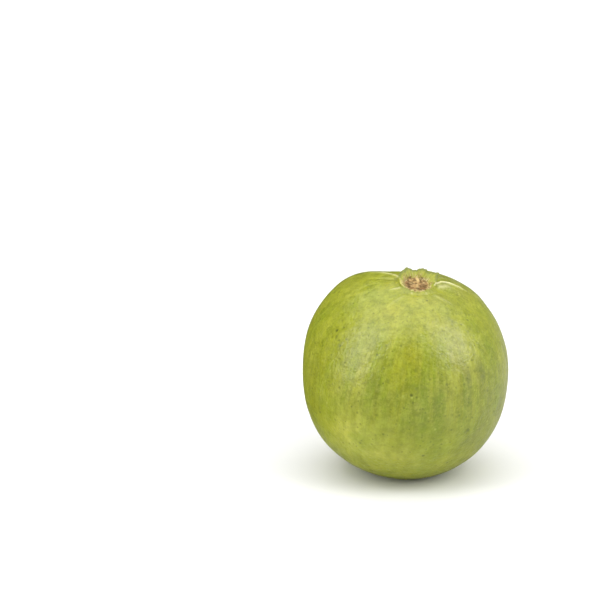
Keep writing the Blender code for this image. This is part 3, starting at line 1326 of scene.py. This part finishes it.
    def lay_marks(self, coat: Coat, form: FruitForm) -> None:
        """Lays the mottling, the dots and the few larger marks.

        Args:
            coat: the skin's material.
            form: the fruit's shape, which says how far out the skin lies.
        """
        calm = coat.desk.attribute(Mask.CALM)
        lively = coat.desk.calc("MULTIPLY_ADD", calm, -self.calm_loss, 1.0)
        for scale, tone, amount in (
            (240.0, self.dark_streak, 0.42),
            (400.0, self.dark_streak, 0.38),
            (620.0, self.streak, 0.26),
            (1050.0, self.dark_streak, 0.34),
            (1300.0, self.streak, 0.22),
        ):
            coat.lay(tone, coat.blotches(scale, 0.46, 0.68), amount, lively)
        for scale, size, share, tone, amount in (
            (330.0, 0.19, 0.60, self.dot, 0.65),
            (560.0, 0.24, 0.55, self.dot, 0.55),
            (300.0, 0.16, 0.25, self.halo, 0.55),
            (95.0, 0.06, 0.30, self.brown, 0.80),
        ):
            dots = coat.group(coat.effects.speckles, Scale=scale, Size=size, Share=share)
            coat.lay(tone, dots[0], amount)
        for mark in self.blemishes:
            radius, height = form.body_point(math.radians(mark.angle))
            turn = math.radians(mark.turn)
            centre = (radius * math.cos(turn), radius * math.sin(turn), height)
            spot = coat.group(coat.effects.spot, Centre=centre, Radius=mark.radius)
            coat.lay(self.dot, spot[0], mark.strength)

    def lay_ends(self, coat: Coat, streaks: Socket) -> None:
        """Lays the calyx and the scar over the skin.

        Args:
            coat: the skin's material.
            streaks: coordinates that are stretched along the fruit's meridians.
        """
        desk = coat.desk
        grain = coat.group(coat.effects.grain, Scale=1500.0, Pores=0.5)
        grainy = desk.eased(grain["Value"], *self.cork_grain)
        fibres = coat.blotches(26.0, 0.42, 0.58, Place=streaks)
        cork, brown, rim, lobe = (
            desk.mixed(desk.calc("MULTIPLY", pattern, share), first, second)
            for pattern, share, first, second in (
                (grainy, self.grain_in_cork, self.cork, self.cork_pale),
                (grainy, self.grain_in_brown, self.cork_brown, self.cork),
                (fibres, self.fibres_in_rim, self.cork_rim, self.rim_shade),
                (fibres, self.fibres_in_lobe, self.lobe, self.green),
            )
        )
        for mask, tone, amount in (
            # painted highlight along the ridges' crests
            (Mask.CREST_HIGHLIGHT, self.crest_highlight, 1.0),
            (Mask.LOBE, lobe, 0.85),
            (Mask.EDGE, self.lobe_edge, 0.75),
            (Mask.FOOT, self.lobe_foot, 0.75),
            (Mask.RIM, rim, 0.8),
            (Mask.DISC, cork, 1.0),
            # the brown hollows, the straw marks and the dark pits are partly painted shade and
            # painted highlight
            (Mask.BROWN, brown, 1.0),
            (Mask.STRAW, self.cork_pale, 0.7),
            (Mask.HOLLOW_SHADE, self.char, 0.9),
            (Mask.SCAR, desk.mixed(grainy, self.char, self.scar), 1.0),
        ):
            coat.lay(tone, desk.attribute(mask), amount)

    def relief(self, coat: Coat) -> tuple[Socket, Socket]:
        """The skin's waxy gloss and its fine grain.

        Args:
            coat: the skin's material.

        Returns:
            The sockets of the roughness and of the normal.
        """
        desk, grain = coat.desk, coat.effects.grain
        corky = 0.0
        for mask, amount in (
            (Mask.DISC, 1.0), (Mask.SCAR, 1.0), (Mask.RIM, 0.8), (Mask.LOBE, 0.45)
        ):
            corky = desk.calc("MULTIPLY_ADD", desk.attribute(mask), amount, corky)
        corky = desk.calc("MINIMUM", corky, 1.0)
        wax = coat.blotches(420.0, 0.35, 0.65)
        least = self.roughness - self.wax_roughness / 2
        rough = desk.calc("MULTIPLY_ADD", wax, self.wax_roughness, least)
        rough = desk.calc("MULTIPLY_ADD", corky, self.cork_roughness, rough)
        fine = coat.group(grain, Scale=900.0, Pores=0.6)
        coarse = coat.group(grain, Scale=330.0, Pores=1.0)
        height = desk.calc("MULTIPLY_ADD", coarse["Height"], self.coarse_share, fine["Height"])
        return rough, desk.bumped(height, strength=self.bump, distance=self.bump_depth)

    def material(self, effects: Effects, form: FruitForm) -> bpy.types.Material:
        """Builds the skin's material.

        Args:
            effects: the shared node groups.
            form: the fruit's shape.

        Returns:
            The material, which reads the fruit's own attributes.
        """
        coat = Coat("guava_skin", effects, self.base, Own.PLACE)
        desk = coat.desk
        meridian = desk.attribute(Own.MERIDIAN, "Vector")
        stretch = (1.0, 1.0, self.streak_stretch)
        streaks = desk.fill(desk.add("Mapping"), Vector=meridian, Scale=stretch).outputs[0]
        self.lay_ground(coat, streaks)
        self.lay_marks(coat, form)
        self.lay_ends(coat, streaks)
        rough, normal = self.relief(coat)
        desk.fill(
            coat.shader,
            Base_Color=coat.colour,
            Roughness=rough,
            Normal=normal,
            Specular_IOR_Level=self.specular,
            Subsurface_Weight=self.subsurface,
            Subsurface_Scale=self.subsurface_scale,
            Subsurface_Radius=self.subsurface_radius,
        )
        return coat.material


@dataclass(frozen=True)
class DriedFinish:
    """Brown, fibrous, dried flower remains."""

    dark: Colour = (0.26, 0.15, 0.035)
    light: Colour = (0.74, 0.62, 0.32)
    roughness: float = 0.75
    grain_roughness: float = 0.2
    bump: float = 0.5
    bump_depth: float = 0.0001

    def material(self, effects: Effects) -> bpy.types.Material:
        """Builds the material of the dried stamens.

        Args:
            effects: the shared groups.

        Returns:
            The finished material.
        """
        coat = Coat("dried_stamen", effects, self.dark)
        desk = coat.desk
        coat.lay(self.light, coat.blotches(700.0, 0.4, 0.62), 1.0)
        grain = coat.group(effects.grain, Scale=2200.0, Pores=0.4)
        least = self.roughness - self.grain_roughness / 2
        rough = desk.calc("MULTIPLY_ADD", grain["Value"], self.grain_roughness, least)
        normal = desk.bumped(grain["Height"], strength=self.bump, distance=self.bump_depth)
        desk.fill(coat.shader, Base_Color=coat.colour, Roughness=rough, Normal=normal)
        return coat.material


@dataclass(frozen=True)
class SoftBox:
    """A soft box: its width and height, where it hangs round the fruit, and its power in watts.

    The turn starts at the front and grows to the right, and the rise is its angle over level.
    """

    name: str
    size: Range
    turn: float
    rise: float
    distance: float
    power: float


@dataclass(frozen=True)
class Studio:
    """The pale floor, the soft lights and the camera, which looks at the fruit from the front."""

    floor_size: float = 3.0
    floor_colour: Colour = (0.90, 0.90, 0.90)
    floor_shade: Colour = (0.20, 0.20, 0.05)
    floor_sheen: float = 0.55  # share of the floor's light that reflections show
    floor_roughness: float = 0.9
    floor_specular: float = 0.1
    shade_side: Range = (0.05, -0.03)  # where reflections of the floor grow shaded
    shade_front: Range = (-0.02, -0.09)
    shade_beside: Range = (-0.02, -0.07)
    glow: Colour = (0.6, 0.6, 0.6)
    glow_reach: Range = (0.25, 0.65)  # how far from the fruit the floor brightens to white
    surround: float = 0.39
    backdrop: float = 1.0
    left_shade: float = 0.65
    left_reach: Range = (-0.35, -0.95)
    sheen_reach: Range = (0.8, 0.0)
    sheen_dim: float = 0.85  # share of the surround that reflections lose
    boxes: tuple[SoftBox, ...] = (
        SoftBox("left_box", (0.45, 1.25), -64, 25, 0.9, 7.0),
        SoftBox("right_box", (0.50, 0.70), 66, 34.5, 0.9, 4.7),
        SoftBox("top_box", (2.6, 2.6), 180, 86.82, 1.803, 35.2),
    )
    camera_distance: float = 1.0
    camera_elevation: float = 17.5
    camera_lens: float = 158.4
    sensor: float = 36.0
    aim_side: float = -0.04015
    aim_up: float = 0.02765

    def build_floor(self, effects: Effects) -> bpy.types.Object:
        """A wide plain floor that the fruit rests on.

        The fruit's reflections see it dimmer, most of all at the front left, and the camera sees
        it brighten to the white of the backdrop.

        Args:
            effects: the shared node groups.

        Returns:
            The floor's object.
        """
        bm = bmesh.new()
        bmesh.ops.create_grid(bm, x_segments=8, y_segments=8, size=self.floor_size / 2)
        floor = finished(bm, "studio_floor")
        coat = Coat("studio_floor", effects, self.floor_colour)
        desk = coat.desk
        path = desk.add("LightPath").outputs
        axes = desk.axes(coat.place)
        front = desk.eased(axes["Y"], *self.shade_front)
        beside = desk.eased(axes["X"], *self.shade_beside)
        side = desk.eased(axes["X"], *self.shade_side)
        coat.lay(self.floor_shade, side, desk.calc("MAXIMUM", front, beside), path["Is Glossy Ray"])
        coat.lay(BLACK, path["Is Glossy Ray"], 1 - self.floor_sheen)
        distance = desk.add("VectorMath", operation="LENGTH")
        desk.feed(distance.inputs[0], coat.place)
        far = desk.eased(distance.outputs["Value"], *self.glow_reach)
        glow = desk.mixed(desk.calc("MULTIPLY", far, path["Is Camera Ray"]), BLACK, self.glow)
        desk.fill(
            coat.shader,
            Base_Color=coat.colour,
            Emission_Color=glow,
            Emission_Strength=1.0,
            Roughness=self.floor_roughness,
            Specular_IOR_Level=self.floor_specular,
        )
        floor.data.materials.append(coat.material)
        return floor

    def build_surround(self) -> None:
        """An even white surround, which the camera sees as plain white."""
        world = bpy.data.worlds.new("studio_white")
        world.use_nodes = True
        world.node_tree.nodes.clear()
        desk = Desk(world.node_tree)
        path = desk.add("LightPath").outputs
        across = desk.axes(desk.add("TexCoord").outputs["Generated"])["X"]
        shade = desk.eased(across, *self.left_reach)
        lit = desk.calc("MULTIPLY_ADD", shade, -self.left_shade * self.surround, self.surround)
        dim = desk.calc("MULTIPLY", desk.eased(across, *self.sheen_reach), path["Is Glossy Ray"])
        lit = desk.calc("MULTIPLY", lit, desk.calc("MULTIPLY_ADD", dim, -self.sheen_dim, 1.0))
        span = desk.calc("SUBTRACT", self.backdrop, lit)
        strength = desk.calc("MULTIPLY_ADD", path["Is Camera Ray"], span, lit)
        background = desk.fill(desk.add("Background"), Color=(1.0, 1.0, 1.0), Strength=strength)
        desk.fill(desk.add("OutputWorld"), Surface=background.outputs["Background"])
        bpy.context.scene.world = world

    def build_lights(self, centre: Vector) -> None:
        """Hangs the soft boxes round this point, which they all face.

        Args:
            centre: the middle of the fruit.
        """
        for box in self.boxes:
            data = bpy.data.lights.new(box.name, "AREA")
            data.shape = "RECTANGLE"
            data.size, data.size_y = box.size
            data.energy = box.power
            turned = Euler((math.radians(-box.rise), 0, math.radians(box.turn)))
            away = turned.to_matrix() @ Vector((0, -box.distance, 0))
            light = bpy.data.objects.new(box.name, data)
            light.location = centre + away
            light.rotation_euler = (-away).to_track_quat("-Z", "Y").to_euler()
            light.visible_camera = False
            bpy.context.scene.collection.objects.link(light)

    def build_camera(self, centre: Vector) -> None:
        """Builds the camera, which looks down on the fruit from the front.

        Args:
            centre: the middle of the fruit.
        """
        rise = math.radians(self.camera_elevation)
        forward = Vector((0, math.cos(rise), -math.sin(rise)))
        up = Vector((0, math.sin(rise), math.cos(rise)))
        aim = centre + Vector((self.aim_side, 0, 0)) + up * self.aim_up
        data = bpy.data.cameras.new("camera")
        data.sensor_width = self.sensor
        data.lens = self.camera_lens
        camera = bpy.data.objects.new("camera", data)
        camera.location = aim - forward * self.camera_distance
        camera.rotation_euler = forward.to_track_quat("-Z", "Y").to_euler()
        bpy.context.scene.collection.objects.link(camera)
        bpy.context.scene.camera = camera


def main() -> None:
    """Builds the fruit, its finishes and the studio, and reports each piece."""
    logging.basicConfig(level=logging.INFO, format="%(name)s: %(message)s")
    bpy.context.scene.view_settings.view_transform = "Standard"
    form = FruitForm()
    effects = Effects()
    maker = Fruit(form)
    fruit = maker.build()
    fruit.data.materials.append(SkinFinish().material(effects, form))
    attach(fruit, "root")
    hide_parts(FRUIT_NODE)
    LOG.info("%s: %d faces", fruit.name, len(fruit.data.polygons))

    stamens = DriedStamens().build(fruit, form, maker.lift)
    stamens.data.materials.append(DriedFinish().material(effects))
    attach(stamens, "root")
    LOG.info("%s: %d faces", stamens.name, len(stamens.data.polygons))

    studio = Studio()
    centre = Vector((0, 0, maker.lift))
    studio.build_floor(effects)
    studio.build_surround()
    studio.build_lights(centre)
    studio.build_camera(centre)


if __name__ == "__main__":
    main()
